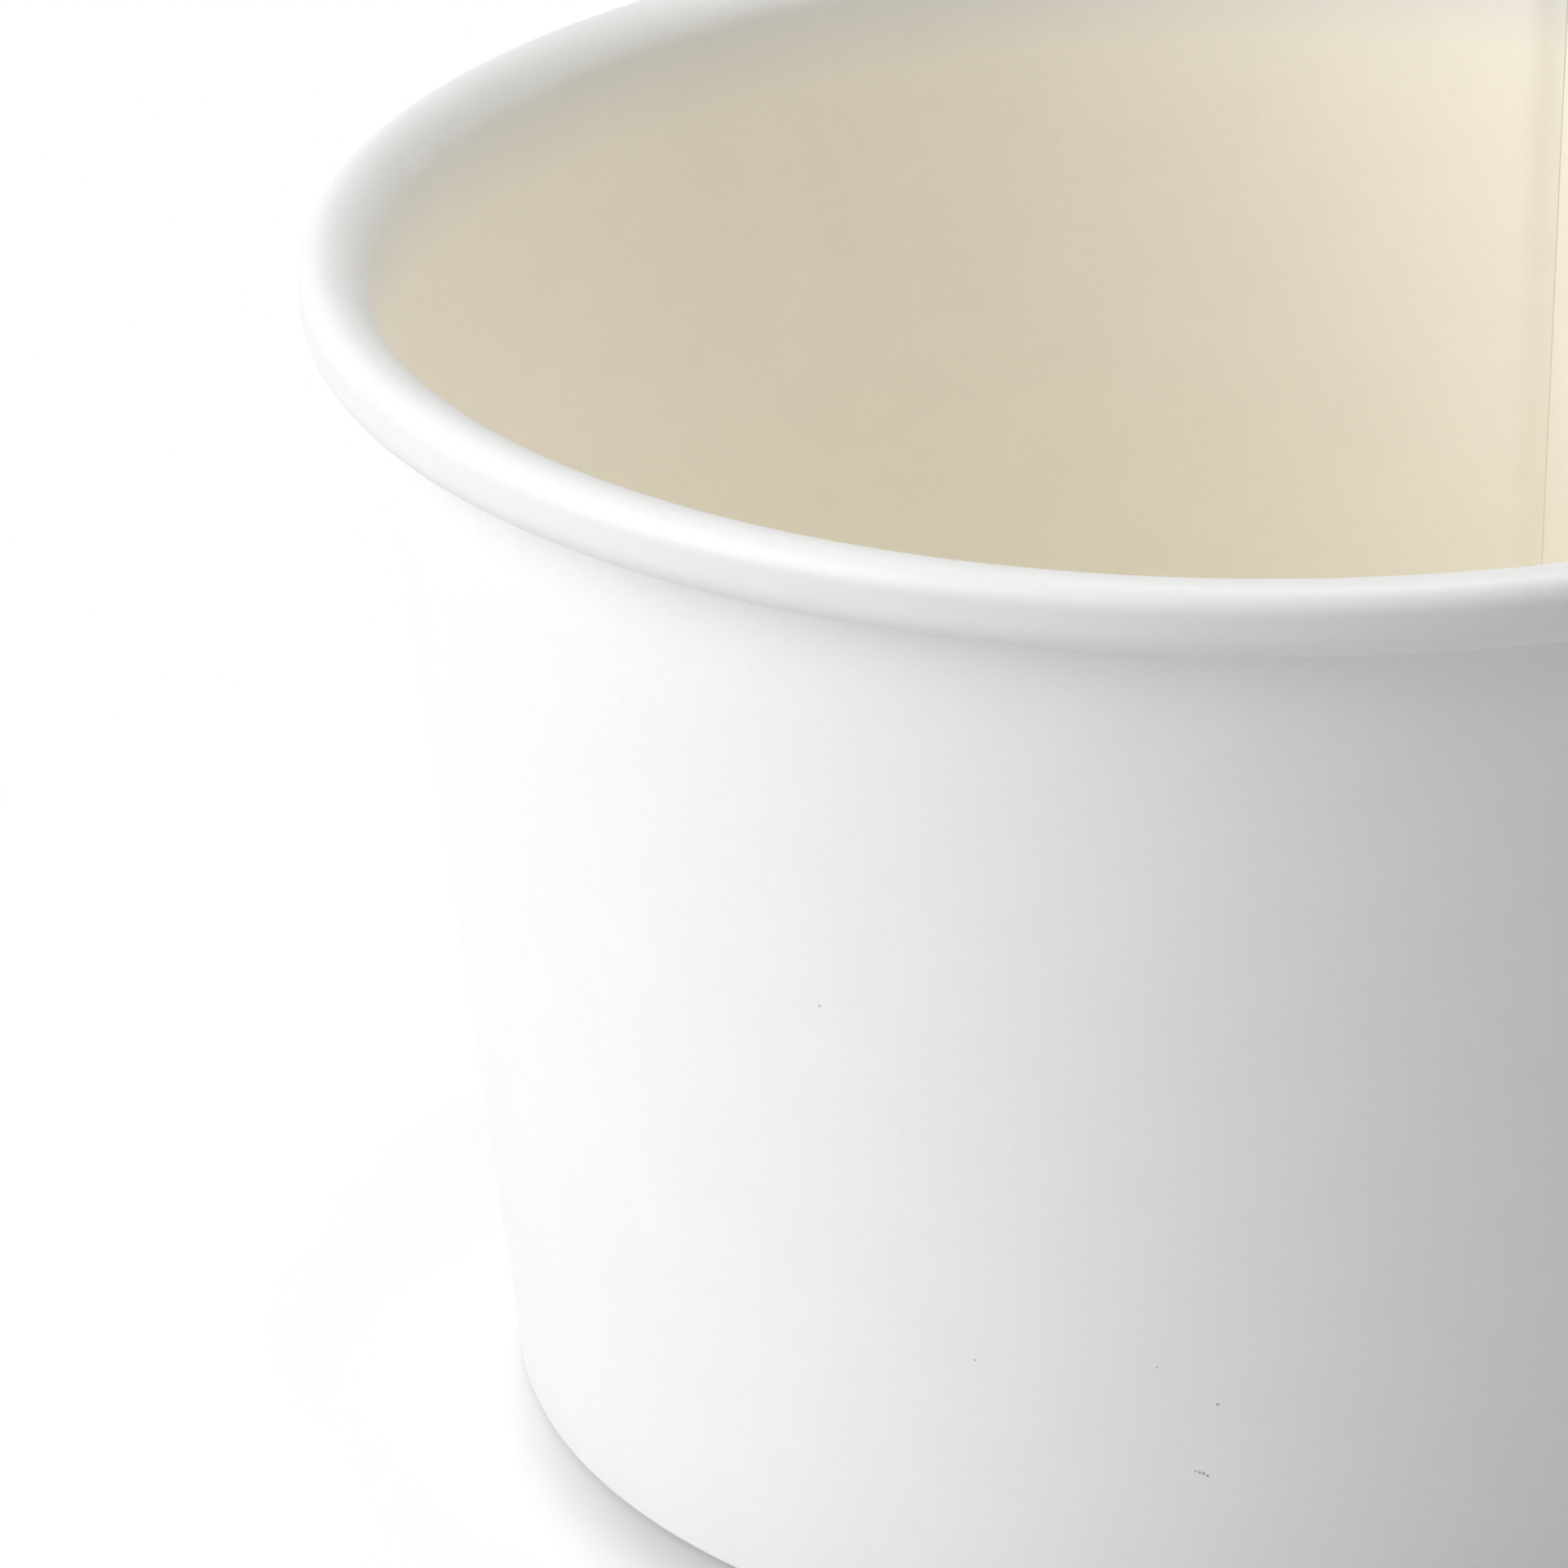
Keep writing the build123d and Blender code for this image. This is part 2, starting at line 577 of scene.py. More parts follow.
    def strip(self) -> bpy.types.Object:
        """The section as a line of points that carry what the winding needs.

        Returns:
            The line, with edges but no faces, which the winding replaces.
        """
        plain = self.section(1)
        roomy = self.section(2)
        mesh = bpy.data.meshes.new("wall_board_section")
        count = len(plain.points)
        edges = [(i, i + 1) for i in range(count - 1)]
        mesh.from_pydata([(p.x, 0.0, p.y) for p in plain.points], edges, [])
        crest = max(range(count), key=lambda i: plain.points[i].y)
        shifts = [roomy.points[i] - plain.points[i] for i in range(count)]
        values = {
            Carried.SPREAD.value: [(s.x, 0.0, s.y) for s in shifts],
            Carried.ACROSS.value: [(a.x, 0.0, a.y) for a in roomy.across],
            Carried.ALONG.value: plain.along,
            Carried.LINING.value: [self.lining(plain.points[i], i <= crest) for i in range(count)],
        }
        for name, column in values.items():
            vector = isinstance(column[0], tuple)
            mesh.attributes.new(name, "FLOAT_VECTOR" if vector else "FLOAT", "POINT")
            flat = [number for row in column for number in row] if vector else column
            mesh.attributes[name].data.foreach_set("vector" if vector else "value", flat)
        strip = bpy.data.objects.new("side_wall_sheet", mesh)
        bpy.context.scene.collection.objects.link(strip)
        return strip


class Winding:
    """The node tree that winds a board's section once round, lapped, and gives it its thickness.

    Attributes:
        tree: the node tree.
        given: its inputs.
    """

    WELD = 0.0001 * MM  # joins the raised face's edge to the face it was raised from

    def __init__(self) -> None:
        """Makes the tree with its inputs."""
        self.tree = bpy.data.node_groups.new("wind_the_board", "GeometryNodeTree")
        kinds = {
            "NodeSocketGeometry": ("Board",),
            "NodeSocketFloat": (
                "Start",
                "Lap",
                "Ease",
                "Thickness",
                "Glue Line",
                "Skive",
                "Skive Depth",
                "Chart Radius",
            ),
            "NodeSocketInt": ("Points", "Seam Steps", "Plain Steps"),
            "NodeSocketMaterial": ("Inner Face", "Outer Face", "Cut Edge"),
        }
        for kind, names in kinds.items():
            for name in names:
                self.tree.interface.new_socket(name, in_out="INPUT", socket_type=kind)
        self.tree.interface.new_socket("Cup", in_out="OUTPUT", socket_type="NodeSocketGeometry")
        self.given = add_node(self.tree, "NodeGroupInput").outputs
        self._build()

    def _math(self, operation: str, first: NodeValue, second: NodeValue) -> bpy.types.NodeSocket:
        """The result of a sum on numbers."""
        node = add_node(self.tree, "ShaderNodeMath", {0: first, 1: second}, operation=operation)
        return node.outputs[0]

    def _whole(self, operation: str, first: NodeValue, second: NodeValue) -> bpy.types.NodeSocket:
        """The result of a sum on whole numbers."""
        inputs = {0: first, 1: second}
        node = add_node(self.tree, "FunctionNodeIntegerMath", inputs, operation=operation)
        return node.outputs[0]

    def _ramp(
        self,
        value: NodeValue,
        reach: tuple[NodeValue, NodeValue],
        result: tuple[NodeValue, NodeValue],
        smooth: bool,
    ) -> bpy.types.NodeSocket:
        """A value that goes from one level to another as a second value passes through its reach.

        Args:
            value: what it follows.
            reach: where it starts and stops following.
            result: its levels at the two ends.
            smooth: whether it eases in and out.

        Returns:
            The value.
        """
        node = add_node(
            self.tree,
            "ShaderNodeMapRange",
            {
                "Value": value,
                "From Min": reach[0],
                "From Max": reach[1],
                "To Min": result[0],
                "To Max": result[1],
            },
            interpolation_type="SMOOTHSTEP" if smooth else "LINEAR",
        )
        return node.outputs["Result"]

    def _of_row(
        self, value: bpy.types.NodeSocket, kind: str, row: bpy.types.NodeSocket
    ) -> bpy.types.NodeSocket:
        """A value of the section's point in the same row of the grid.

        Args:
            value: of all the section's points.
            kind: its type.
            row: the row.

        Returns:
            The value for each point of the grid.
        """
        node = add_node(
            self.tree,
            "GeometryNodeSampleIndex",
            {"Geometry": self.given["Board"], "Value": value, "Index": row},
            data_type=kind,
        )
        return node.outputs["Value"]

    def _carried(
        self, name: Carried, kind: str, row: bpy.types.NodeSocket
    ) -> bpy.types.NodeSocket:
        """What the section's point in the same row of the grid carries.

        Args:
            name: of the carried value.
            kind: its type.
            row: the row.

        Returns:
            The value for each point of the grid.
        """
        inputs = {"Name": name.value}
        value = add_node(self.tree, "GeometryNodeInputNamedAttribute", inputs, data_type=kind)
        return self._of_row(value.outputs["Attribute"], kind, row)

    def _moved(
        self, point: NodeValue, direction: NodeValue, distance: NodeValue
    ) -> bpy.types.NodeSocket:
        """A point moved along a direction.

        Args:
            point: where it was.
            direction: where it goes.
            distance: how many times the direction.

        Returns:
            The point.
        """
        node = add_node(
            self.tree,
            "ShaderNodeVectorMath",
            {0: direction, 1: distance, 2: point},
            operation="MULTIPLY_ADD",
        )
        return node.outputs["Vector"]

    def _turned(
        self, vector: bpy.types.NodeSocket, angle: bpy.types.NodeSocket
    ) -> bpy.types.NodeSocket:
        """A vector turned about the cup's axis."""
        inputs = {"Vector": vector, "Angle": angle}
        return add_node(
            self.tree, "ShaderNodeVectorRotate", inputs, rotation_type="Z_AXIS"
        ).outputs[0]

    def _build(self) -> None:
        """Lays out the nodes: a grid, its turn round the cup, its place, and its thickness."""
        tree, given = self.tree, self.given
        seams = self._whole("MULTIPLY", given["Seam Steps"], 2)
        steps = self._whole("ADD", seams, given["Plain Steps"])
        columns = self._whole("ADD", steps, 1)
        grid = add_node(
            tree, "GeometryNodeMeshGrid", {"Vertices X": columns, "Vertices Y": given["Points"]}
        )
        index = add_node(tree, "GeometryNodeInputIndex").outputs[0]
        column = self._whole("DIVIDE_FLOOR", index, given["Points"])
        row = self._whole("MODULO", index, given["Points"])
        turn = self._turn(column, steps)
        angle = self._math("ADD", given["Start"], turn)
        room, layer, thickness = self._layers(turn)

        position = add_node(tree, "GeometryNodeInputPosition").outputs[0]
        flat = self._of_row(position, "FLOAT_VECTOR", row)
        across = self._carried(Carried.ACROSS, "FLOAT_VECTOR", row)
        spread = self._carried(Carried.SPREAD, "FLOAT_VECTOR", row)
        along = self._carried(Carried.ALONG, "FLOAT", row)
        lining = self._carried(Carried.LINING, "FLOAT", row)
        stepped = self._moved(self._moved(flat, spread, room), across, layer)
        thick = scaled(tree, across, thickness)
        chart = add_node(
            tree,
            "ShaderNodeCombineXYZ",
            {"X": self._math("MULTIPLY", turn, given["Chart Radius"]), "Y": along},
        )
        sheet = grid.outputs["Mesh"]
        for name, kind, domain, value in (
            (Carried.LINING, "FLOAT", "POINT", lining),
            (Carried.THICKNESS, "FLOAT_VECTOR", "POINT", self._turned(thick, angle)),
            (Carried.UV, "FLOAT2", "CORNER", chart.outputs["Vector"]),
        ):
            sheet = add_node(
                tree,
                "GeometryNodeStoreNamedAttribute",
                {"Geometry": sheet, "Name": name.value, "Value": value},
                data_type=kind,
                domain=domain,
            ).outputs["Geometry"]
        placed = add_node(
            tree,
            "GeometryNodeSetPosition",
            {"Geometry": sheet, "Position": self._turned(stepped, angle)},
        )
        self._thicken(placed.outputs["Geometry"])

    def _turn(
        self, column: bpy.types.NodeSocket, steps: bpy.types.NodeSocket
    ) -> bpy.types.NodeSocket:
        """How far round a column lies: fine steps over both ends of the seam, coarser between.

        Args:
            column: of the grid.
            steps: how many there are in all.

        Returns:
            The turn from the inner flap's edge.
        """
        given = self.given
        seam = given["Seam Steps"]
        until = self._whole("ADD", seam, given["Plain Steps"])
        end_zone = self._math("ADD", given["Lap"], given["Ease"])
        both_ends = self._math("ADD", end_zone, given["Ease"])
        middle = self._math("SUBTRACT", tau, both_ends)
        first = self._ramp(column, (0.0, seam), (0.0, end_zone), False)
        second = self._ramp(column, (seam, until), (0.0, middle), False)
        third = self._ramp(column, (until, steps), (0.0, end_zone), False)
        return self._math("ADD", self._math("ADD", first, second), third)

    def _layers(
        self, turn: bpy.types.NodeSocket
    ) -> tuple[bpy.types.NodeSocket, bpy.types.NodeSocket, bpy.types.NodeSocket]:
        """How the board lies over and under itself at the seam.

        Args:
            turn: from the inner flap's edge.

        Returns:
            The share of room left for a second layer, how far out the board's inner face lies,
            and the board's thickness.
        """
        given = self.given
        board = given["Thickness"]
        end_zone = self._math("ADD", given["Lap"], given["Ease"])
        step_start = self._math("SUBTRACT", tau, given["Ease"])
        # the inner flap's curl and foot leave room for the outer flap, which steps out over it
        closing = self._ramp(turn, (given["Lap"], end_zone), (1.0, 0.0), True)
        step = self._ramp(turn, (step_start, tau), (0.0, 1.0), True)
        room = self._math("MAXIMUM", closing, step)
        over = self._math("MULTIPLY", step, self._math("ADD", board, given["Glue Line"]))
        # the inner flap is skived: pared from its inner face, so that its edge hardly stands out
        pared = self._ramp(turn, (0.0, given["Skive"]), (given["Skive Depth"], 0.0), True)
        layer = self._math("ADD", over, self._math("MULTIPLY", pared, board))
        thickness = self._math("MULTIPLY", board, self._math("SUBTRACT", 1.0, pared))
        return room, layer, thickness

    def _thicken(self, sheet: bpy.types.NodeSocket) -> None:
        """Gives the sheet its outer face and its cut edges, each with its own material."""
        tree, given = self.tree, self.given
        thickness = add_node(
            tree,
            "GeometryNodeInputNamedAttribute",
            {"Name": Carried.THICKNESS.value},
            data_type="FLOAT_VECTOR",
        )
        raised = add_node(
            tree,
            "GeometryNodeExtrudeMesh",
            {
                "Mesh": sheet,
                "Offset": thickness.outputs["Attribute"],
                "Offset Scale": 1.0,
                "Individual": False,
            },
            mode="FACES",
        )
        inner = add_node(tree, "GeometryNodeFlipFaces", {"Mesh": sheet})
        joined = add_node(tree, "GeometryNodeJoinGeometry")
        for part in (raised, inner):
            tree.links.new(part.outputs[0], joined.inputs[0])
        board = joined.outputs[0]
        for kind, inputs in (
            ("GeometryNodeMergeByDistance", {"Distance": self.WELD}),
            ("GeometryNodeSetShadeSmooth", {}),
            ("GeometryNodeRemoveAttribute", {"Name": Carried.THICKNESS.value}),
            ("GeometryNodeRealizeInstances", {}),
            ("GeometryNodeSetMaterial", {"Material": given["Inner Face"]}),
            (
                "GeometryNodeSetMaterial",
                {"Selection": raised.outputs["Top"], "Material": given["Outer Face"]},
            ),
            (
                "GeometryNodeSetMaterial",
                {"Selection": raised.outputs["Side"], "Material": given["Cut Edge"]},
            ),
        ):
            board = add_node(tree, kind, {"Geometry": board, **inputs}).outputs[0]
        add_node(tree, "NodeGroupOutput", {"Cup": board})


def set_inputs(modifier: bpy.types.Modifier, values: dict[str, NodeValue]) -> None:
    """Sets a node modifier's inputs by each socket's identifier.

    Args:
        modifier: the modifier, not evaluated yet.
        values: for each input's name, its value.
    """
    for item in modifier.node_group.interface.items_tree:
        if item.item_type == "SOCKET" and item.in_out == "INPUT" and item.name in values:
            modifier[item.identifier] = values[item.name]


def made_real(source: bpy.types.Object, name: str) -> bpy.types.Object:
    """Turns an object with live modifiers into one with a plain mesh.

    Args:
        source: the object, which is removed.
        name: the new object's name.

    Returns:
        The new object, at the origin, with sharp edges where the board is cut.
    """
    graph = bpy.context.evaluated_depsgraph_get()
    mesh = bpy.data.meshes.new_from_object(source.evaluated_get(graph))
    bpy.data.objects.remove(source)
    mesh.name = name
    for index in reversed([i for i, material in enumerate(mesh.materials) if material is None]):
        mesh.materials.pop(index=index)
    mesh.set_sharp_from_angle(angle=SHARP_ANGLE)
    piece = bpy.data.objects.new(name, mesh)
    bpy.context.scene.collection.objects.link(piece)
    return piece


def hand_over(piece: bpy.types.Object, node: str) -> None:
    """Puts a piece in a CAD node's place and reports it.

    Args:
        piece: the finished piece.
        node: the CAD node it stands for.
    """
    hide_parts(node)
    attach(piece, BODY)
    mesh = piece.data
    log.info("%s: %d points, %d faces", piece.name, len(mesh.vertices), len(mesh.polygons))


# ---------------------------------------------------------------- the pieces


# warm cream satin inside the cup, which fades over the top of the roll to a pale grey:
# the film's cream ends there, and the grey, darker than the wall's white, is painted shade
FILM = Board("film_lined_board", colour="#FCF7EA", painted_shade_roll_colour="#EAEAE8", roughness=0.42)
# smooth neutral white outside, almost matt, with one dark curved fibre and a few single flecks
CLAY = Board(
    "clay_coated_board",
    colour="#F3F3F1",
    roughness=0.5,
    specks=(
        Speck(-80.05, 11.68 * MM, 0.09 * MM, 0.4),
        Speck(-79.78, 11.63 * MM, 0.10 * MM, 0.5),
        Speck(-79.51, 11.58 * MM, 0.10 * MM, 0.6),
        Speck(-79.24, 11.46 * MM, 0.09 * MM, 0.6),
        Speck(-78.50, 15.50 * MM, 0.11 * MM, 0.4),
        Speck(-95.10, 16.60 * MM, 0.10 * MM, 0.35),
        Speck(-82.50, 17.40 * MM, 0.09 * MM, 0.3),
        Speck(-104.70, 34.50 * MM, 0.10 * MM, 0.35),
    ),
)
# dull off-white where the board is cut through and its fibres stand open
CUT = Board("raw_cut_board", colour="#EDE8DC", roughness=0.9)
# dull natural board under the cup, which nothing covers
PLAIN = Board("uncoated_bottom_board", colour="#EAE6DA", roughness=0.75)
# the same warm cream satin as the wall's, on the bottom inside the cup
FLOOR_FILM = Board("film_lined_bottom_board", colour="#FCF7EA", roughness=0.42)


@dataclass
class SideWall:
    """The wound, rolled and hemmed wall.

    Attributes:
        blank: the board and its sizes.
        seam_steps: how many columns of faces each end of the seam gets.
        plain_steps: how many the rest of the wall gets.
        chart_radius: where a length across the UV chart is true.
    """

    blank: WallBlank = field(default_factory=WallBlank)
    seam_steps: int = 22
    plain_steps: int = 300
    chart_radius: float = 43.5 * MM

    def build(self) -> bpy.types.Object:
        """Winds the board and puts it in the CAD wall's place.

        Returns:
            The wall.
        """
        blank = self.blank
        strip = blank.strip()
        modifier = strip.modifiers.new("wind", "NODES")
        modifier.node_group = Winding().tree
        set_inputs(
            modifier,
            {
                "Start": blank.seam_centre - blank.lap_width / blank.base_radius / 2,
                "Lap": blank.lap_width / blank.base_radius,
                "Ease": blank.ease_width / blank.base_radius,
                "Thickness": blank.board,
                "Glue Line": blank.glue_line,
                "Skive": blank.skive_width / blank.base_radius,
                "Skive Depth": blank.skive_depth,
                "Chart Radius": self.chart_radius,
                "Points": len(strip.data.vertices),
                "Seam Steps": self.seam_steps,
                "Plain Steps": self.plain_steps,
                "Inner Face": FILM.build(),
                "Outer Face": CLAY.build(),
                "Cut Edge": CUT.build(),
            },
        )
        wall = made_real(strip, "wound_side_wall")
        hand_over(wall, "side_wall")
        return wall


@dataclass
class BottomDisc:
    """The bottom: a disc of board with its edge turned down into the wall's hem.

    Attributes:
        blank: the wall it sits in.
        underside: its height above the base plane.
        bend_radius: inside the bend down to the skirt.
        skirt_end_gap: the skirt's cut edge to the board below it.
        flat_steps: points of the section from the axis to the bend.
        bend_steps: points of the bend.
        skirt_steps: points of the skirt.
        turn_steps: how many faces it has round the axis.
    """

    blank: WallBlank = field(default_factory=WallBlank)
    underside: float = 7.0 * MM
    bend_radius: float = 0.6 * MM
    skirt_end_gap: float = 0.25 * MM
    flat_steps: int = 24
    bend_steps: int = 10
    skirt_steps: int = 6
    turn_steps: int = 180

    WELD = 0.001 * MM  # joins the points on the axis
    FACES_UP = 0.05  # a normal's height from which a face is on the lined side

    def faces(self) -> tuple[list[Vector], list[Vector]]:
        """The board's two faces in (radius, height), from the axis to the skirt's end.

        Returns:
            The points of the upper and outer face, and of the lower and inner one.
        """
        blank = self.blank
        board, up, foot = blank.bottom_board, blank.up, blank.foot
        outer_bend = self.bend_radius + board
        bend_height = self.underside - self.bend_radius
        wall_radius = foot.x + (bend_height - foot.y) * up.x / up.y
        flat = wall_radius - (blank.skirt_clearance + outer_bend) / up.y
        skirt_end = 2 * blank.board + self.skirt_end_gap
        top = SectionLine(Vector((0.0, self.underside + board)), 0.0)
        top.line(flat, self.flat_steps)
        top.arc(outer_bend, -(pi / 2 + blank.taper), self.bend_steps)
        top.line((top.point.y - skirt_end) / up.y, self.skirt_steps)
        return top.points, [p + a * board for p, a in zip(top.points, top.across)]

    def build(self) -> bpy.types.Object:
        """Turns the section about the axis and puts it in the CAD bottom's place.

        Returns:
            The bottom.
        """
        outer, inner = self.faces()
        ring = [*outer, *reversed(inner)]
        turned = bmesh.new()
        verts = [turned.verts.new((p.x, 0.0, p.y)) for p in ring]
        edges = [turned.edges.new(pair) for pair in zip(verts, verts[1:])]
        bmesh.ops.spin(
            turned,
            geom=[*verts, *edges],
            axis=(0, 0, 1),
            cent=(0, 0, 0),
            angle=tau,
            steps=self.turn_steps,
            use_merge=True,
        )
        bmesh.ops.remove_doubles(turned, verts=turned.verts, dist=self.WELD)
        bmesh.ops.recalc_face_normals(turned, faces=turned.faces)
        mesh = bpy.data.meshes.new("turned_down_bottom")
        top_limit = self.underside + self.blank.bottom_board / 2
        for face in turned.faces:
            face.smooth = True
            lined = face.normal.z > self.FACES_UP or face.calc_center_median().z > top_limit
            face.material_index = 0 if lined else 1
        turned.to_mesh(mesh)
        turned.free()
        mesh.set_sharp_from_angle(angle=SHARP_ANGLE)
        for finish in (FLOOR_FILM, PLAIN):
            mesh.materials.append(finish.build())
        disc = bpy.data.objects.new("turned_down_bottom", mesh)
        bpy.context.scene.collection.objects.link(disc)
        hand_over(disc, "bottom_disc")
        return disc


# ---------------------------------------------------------------- the studio


@dataclass(frozen=True)
class Lamp:
    """A soft white square lamp that faces the cup.

    Attributes:
        name: of the lamp.
        azimuth: from the camera's side of the cup, in degrees, positive to the right.
        elevation: in degrees above the floor.
        distance: from the cup.
        size: of the lamp's side.
        power: in watts.
    """

    name: str
    azimuth: float
    elevation: float
    distance: float
    size: float
    power: float


@dataclass
class Studio:
    """A pale floor, soft lamps, a white surround and the camera.

    Attributes:
        camera_azimuth: from -Y towards +X.
        camera_elevation: above the floor.
        camera_distance: from the base's centre.
        turn_left: how far the camera looks to the left of the base's centre.
        turn_up: how far it looks above it.
        roll: about the way it looks.
        lens: focal length, in millimetres.
        sensor: width of the film, in millimetres.
        clip: nearest and farthest distance seen.
        surround: the light that the surround gives, beside the white that is seen.
        floor_radius: of the floor.
        floor_gap: from the cup's foot down to the floor.
        floor_lift: glow that makes the open floor white.
        painted_shadow_shift: how far the painted contact shadow lies to the camera's side.
        painted_contact_shade: the floor's brightness right at the foot, where the shadow is
            painted.
        painted_shadow_fade: distances between which the painted contact shadow fades out.
        shadow_fade: distances between which the lamps' shadows fade into white.
        lamps: the lamps.
    """

    camera_azimuth: float = radians(15.3)
    camera_elevation: float = radians(27.0201)
    camera_distance: float = 483.196 * MM
    turn_left: float = radians(3.0195)
    turn_up: float = radians(3.2087)
    roll: float = radians(0.1261)
    lens: float = 213.785
    sensor: float = 36.0
    clip: tuple[float, float] = (0.01, 20.0)
    surround: float = 0.09
    floor_radius: float = 3.0
    floor_gap: float = 0.02 * MM
    floor_lift: float = 0.15
    painted_shadow_shift: float = 7.0 * MM
    painted_contact_shade: float = 0.52
    painted_shadow_fade: tuple[float, float] = (33.5 * MM, 41.0 * MM)
    shadow_fade: tuple[float, float] = (60.0 * MM, 100.0 * MM)
    lamps: tuple[Lamp, ...] = (
        Lamp("key", -65, 31, 1.1, 1.0, 12.2),
        Lamp("top", 125, 78, 1.1, 0.6, 4.5),
        Lamp("right_fill", 95, 28, 1.1, 1.0, 2.6),
    )

    def place(self, azimuth: float, elevation: float, distance: float) -> Vector:
        """A place round the cup.

        Args:
            azimuth: from -Y towards +X.
            elevation: above the floor.
            distance: from the origin.

        Returns:
            The place.
        """
        level = cos(elevation) * distance
        return Vector((sin(azimuth) * level, -cos(azimuth) * level, sin(elevation) * distance))

    def build(self) -> None:
        """Makes everything round the cup."""
        self._build_floor()
        self._build_surround()
        for lamp in self.lamps:
            self._build_lamp(lamp)
        self._build_camera()
        bpy.context.scene.view_settings.view_transform = "Standard"

    def _build_camera(self) -> None:
        """Aims the camera at the base's centre, then turns it left and up."""
        away = -self.place(self.camera_azimuth, self.camera_elevation, 1.0)
        right = Vector((cos(self.camera_azimuth), sin(self.camera_azimuth), 0.0))
        up = right.cross(away)
        left_turn = Matrix.Rotation(self.turn_left, 3, up)
        away, right = left_turn @ away, left_turn @ right
        up_turn = Matrix.Rotation(self.turn_up, 3, right)
        away = up_turn @ away
        up = right.cross(away)
        roll = Matrix.Rotation(-self.roll, 3, away)
        right, up = roll @ right, roll @ up
        data = bpy.data.cameras.new("camera")
        data.sensor_width = self.sensor
        data.lens = self.lens
        data.clip_start, data.clip_end = self.clip
        camera = bpy.data.objects.new("camera", data)
        turned = Matrix((right, up, -away)).transposed().to_4x4()
        spot = self.place(self.camera_azimuth, self.camera_elevation, self.camera_distance)
        camera.matrix_world = Matrix.Translation(spot) @ turned
        bpy.context.scene.collection.objects.link(camera)
        bpy.context.scene.camera = camera

    def _build_lamp(self, lamp: Lamp) -> None:
        """Hangs a lamp and turns it to the cup.

        Args:
            lamp: the lamp.
        """
        data = bpy.data.lights.new(lamp.name, "AREA")
        data.shape = "SQUARE"
        data.size = lamp.size
        data.energy = lamp.power
        holder = bpy.data.objects.new(lamp.name, data)
        spot = self.place(
            self.camera_azimuth + radians(lamp.azimuth), radians(lamp.elevation), lamp.distance
        )
        facing = spot.to_track_quat("Z", "Y").to_matrix().to_4x4()
        holder.matrix_world = Matrix.Translation(spot) @ facing
        bpy.context.scene.collection.objects.link(holder)

    def _build_surround(self) -> None:
        """A white surround: full white where it is seen, softer where it lights."""
        world = bpy.data.worlds.new("surround")
        bpy.context.scene.world = world
        world.use_nodes = True
        tree = world.node_tree
        tree.nodes.clear()
        seen = self._seen(tree)
        strength = add_node(
            tree, "ShaderNodeMapRange", {"Value": seen, "To Min": self.surround, "To Max": 1.0}
        )
        light = add_node(
            tree,
            "ShaderNodeBackground",
            {"Color": linear("#FFFFFF"), "Strength": strength.outputs["Result"]},
        )
        add_node(tree, "ShaderNodeOutputWorld", {"Surface": light.outputs[0]})

    def _seen(self, tree: bpy.types.NodeTree) -> bpy.types.NodeSocket:
        """Which rays see a surface, and don't gather the light that falls on something else.

        Args:
            tree: the tree that gets the nodes.

        Returns:
            1 for a ray straight from the camera, off a gloss or through glass, otherwise 0.
        """
        path = add_node(tree, "ShaderNodeLightPath").outputs
        seen = path["Is Camera Ray"]
        for other in ("Is Glossy Ray", "Is Transmission Ray"):
            inputs = {0: seen, 1: path[other]}
            seen = add_node(tree, "ShaderNodeMath", inputs, operation="MAXIMUM").outputs[0]
        return seen

    def _build_floor(self) -> None:
        """A round pale floor that keeps the cup's shadow, with painted shade at its foot, and is
        plain white beyond it.
        """
        mesh = bpy.data.meshes.new("floor")
        disc = bmesh.new()
        bmesh.ops.create_circle(disc, cap_ends=True, radius=self.floor_radius, segments=96)
        drop = CAD_BOUNDS[0].z - self.floor_gap
        bmesh.ops.translate(disc, verts=disc.verts, vec=(0, 0, drop))
        disc.to_mesh(mesh)
        disc.free()
        floor = bpy.data.objects.new("floor", mesh)
        mesh.materials.append(self._floor_material())
        bpy.context.scene.collection.objects.link(floor)

    def _floor_material(self) -> bpy.types.Material:
        """Makes the floor's material: a matt white sweep of paper.

        It bounces light on the cup as pale paper does. Where it is seen it is a clean white with a
        painted shadow under the cup's foot, set to the camera's side on top of the lamps' own,
        keeps the lamps' shadows near it and goes plain further off.

        Returns:
            The material.
        """
        material = bpy.data.materials.new("matt_white_sweep")
        material.use_nodes = True
        tree = material.node_tree
        tree.nodes.clear()
        place = add_node(tree, "ShaderNodeTexCoord").outputs["Object"]
        bounce = add_node(tree, "ShaderNodeBsdfDiffuse", {"Color": linear("#D4D4D4")})
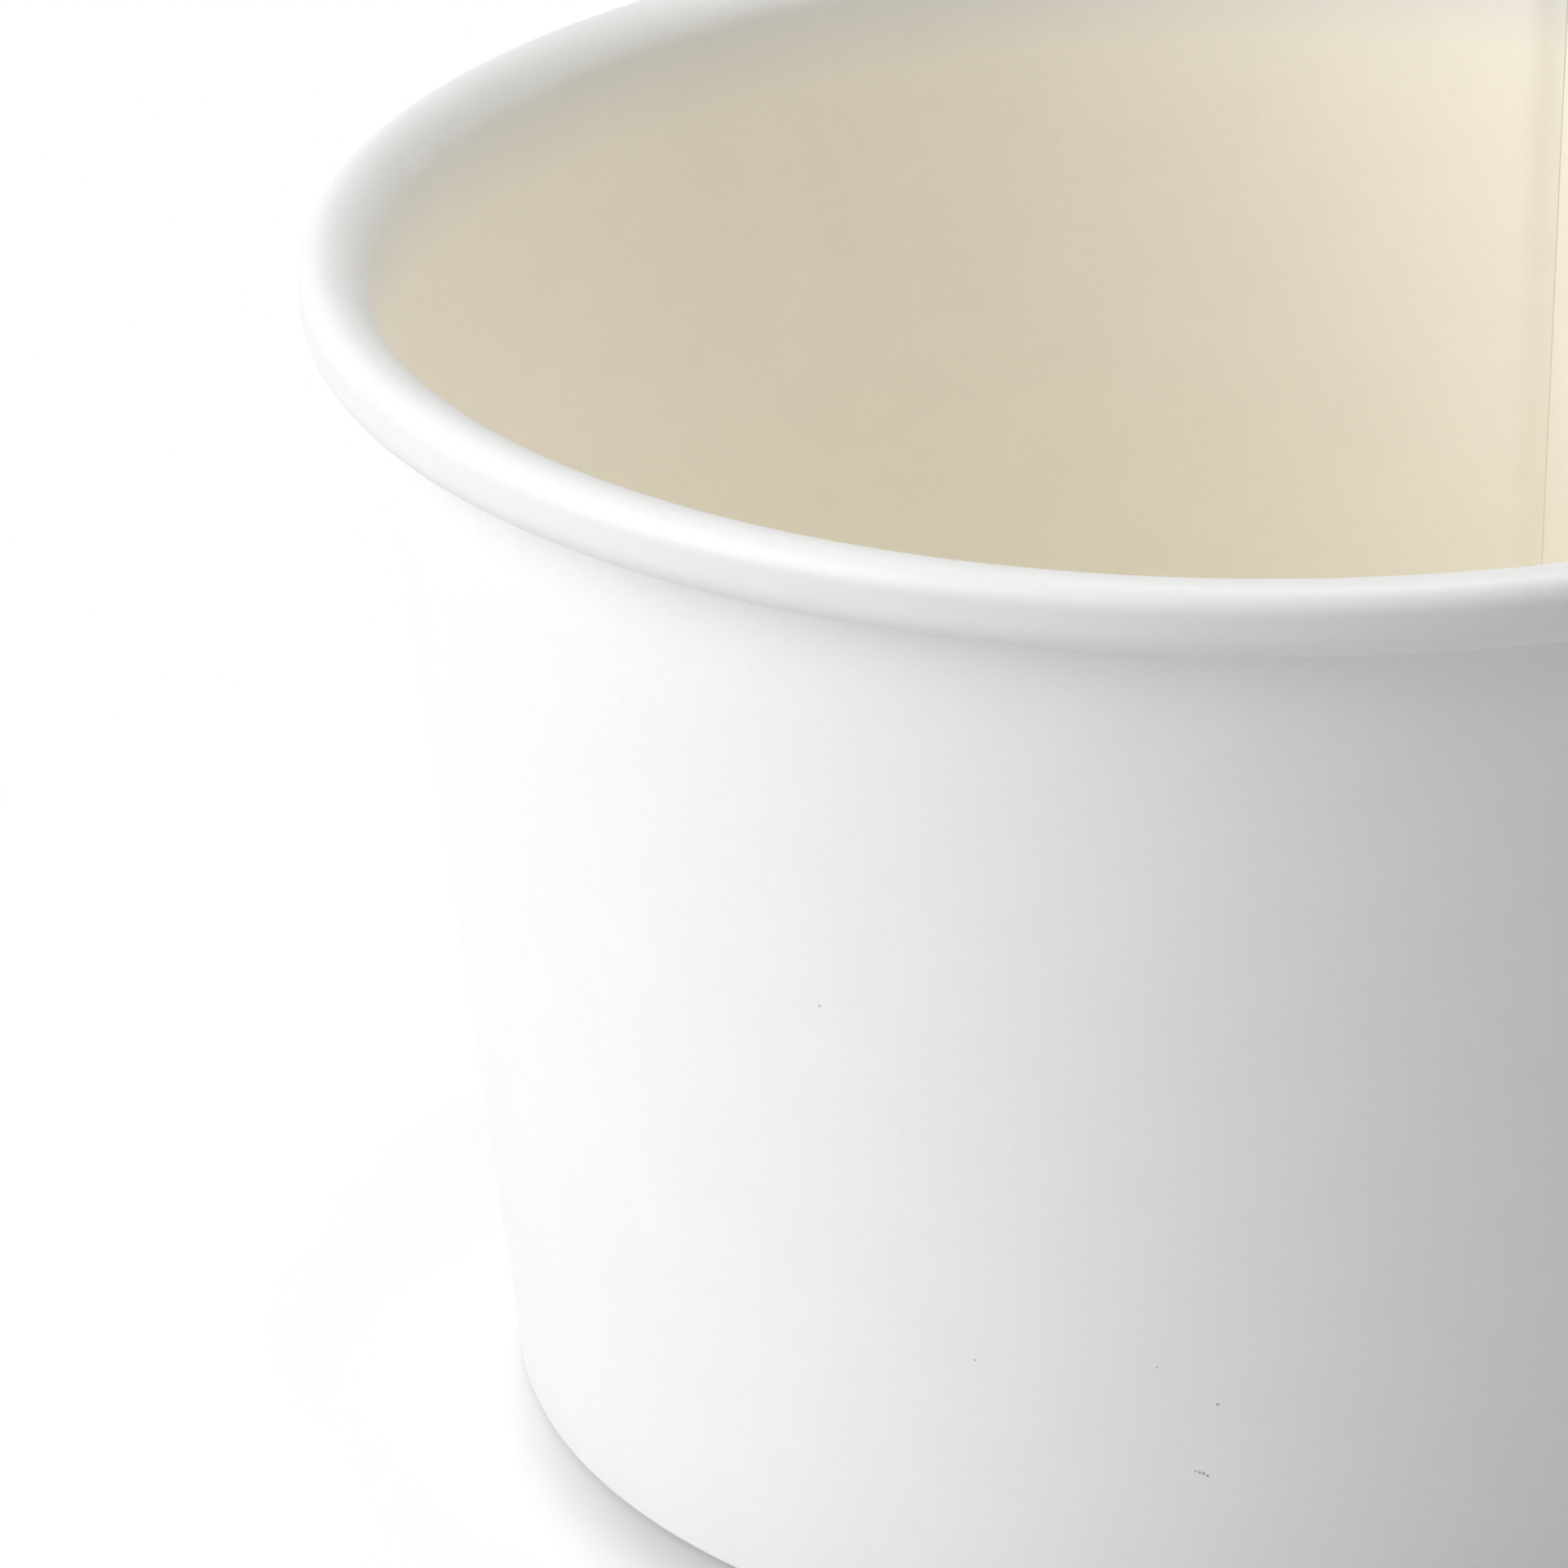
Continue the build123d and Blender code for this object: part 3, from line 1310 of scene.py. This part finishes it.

        # painted contact shadow, on top of the lamps' own: near the foot the seen floor and its
        # glow are darkened by distance from a point shifted to the camera's side
        contact = self.place(self.camera_azimuth, 0.0, self.painted_shadow_shift)
        clear = self._from(tree, place, contact, self.painted_shadow_fade)
        inputs = {"Value": clear, "To Min": self.painted_contact_shade, "To Max": 1.0}
        level = add_node(tree, "ShaderNodeMapRange", inputs).outputs["Result"]
        painted_shadow_white = scaled(tree, linear("#FDFDFD")[:3], level)
        inputs = {0: level, 1: self.floor_lift}
        lift = add_node(tree, "ShaderNodeMath", inputs, operation="MULTIPLY").outputs[0]
        matt = add_node(tree, "ShaderNodeBsdfDiffuse", {"Color": painted_shadow_white})
        lifted = add_node(tree, "ShaderNodeEmission", {"Strength": lift})
        near = add_node(tree, "ShaderNodeAddShader", {0: matt.outputs[0], 1: lifted.outputs[0]})

        plain = add_node(tree, "ShaderNodeEmission", {"Color": linear("#FFFFFF"), "Strength": 1.0})
        far = self._from(tree, place, Vector((0.0, 0.0, 0.0)), self.shadow_fade)
        shaders = {0: far, 1: near.outputs[0], 2: plain.outputs[0]}
        looked_at = add_node(tree, "ShaderNodeMixShader", shaders)
        shaders = {0: self._seen(tree), 1: bounce.outputs[0], 2: looked_at.outputs[0]}
        surface = add_node(tree, "ShaderNodeMixShader", shaders)
        add_node(tree, "ShaderNodeOutputMaterial", {"Surface": surface.outputs[0]})
        return material

    def _from(
        self,
        tree: bpy.types.NodeTree,
        place: bpy.types.NodeSocket,
        centre: Vector,
        reach: tuple[float, float],
    ) -> bpy.types.NodeSocket:
        """A value that rises smoothly from 0 to 1 with the distance from a centre.

        Args:
            tree: the material's tree.
            place: the point.
            centre: where the distance starts.
            reach: the distances at which the value leaves 0 and meets 1.

        Returns:
            The value.
        """
        inputs = {0: place, 1: tuple(centre)}
        gap = add_node(tree, "ShaderNodeVectorMath", inputs, operation="DISTANCE")
        rise = add_node(
            tree,
            "ShaderNodeMapRange",
            {"Value": gap.outputs["Value"], "From Min": reach[0], "From Max": reach[1]},
            interpolation_type="SMOOTHSTEP",
        )
        return rise.outputs["Result"]


def main() -> None:
    """Builds the cup's pieces in order, then the studio round them."""
    logging.basicConfig(level=logging.INFO, format="%(name)s: %(message)s")
    SideWall().build()
    BottomDisc().build()
    Studio().build()


if __name__ == "__main__":
    main()
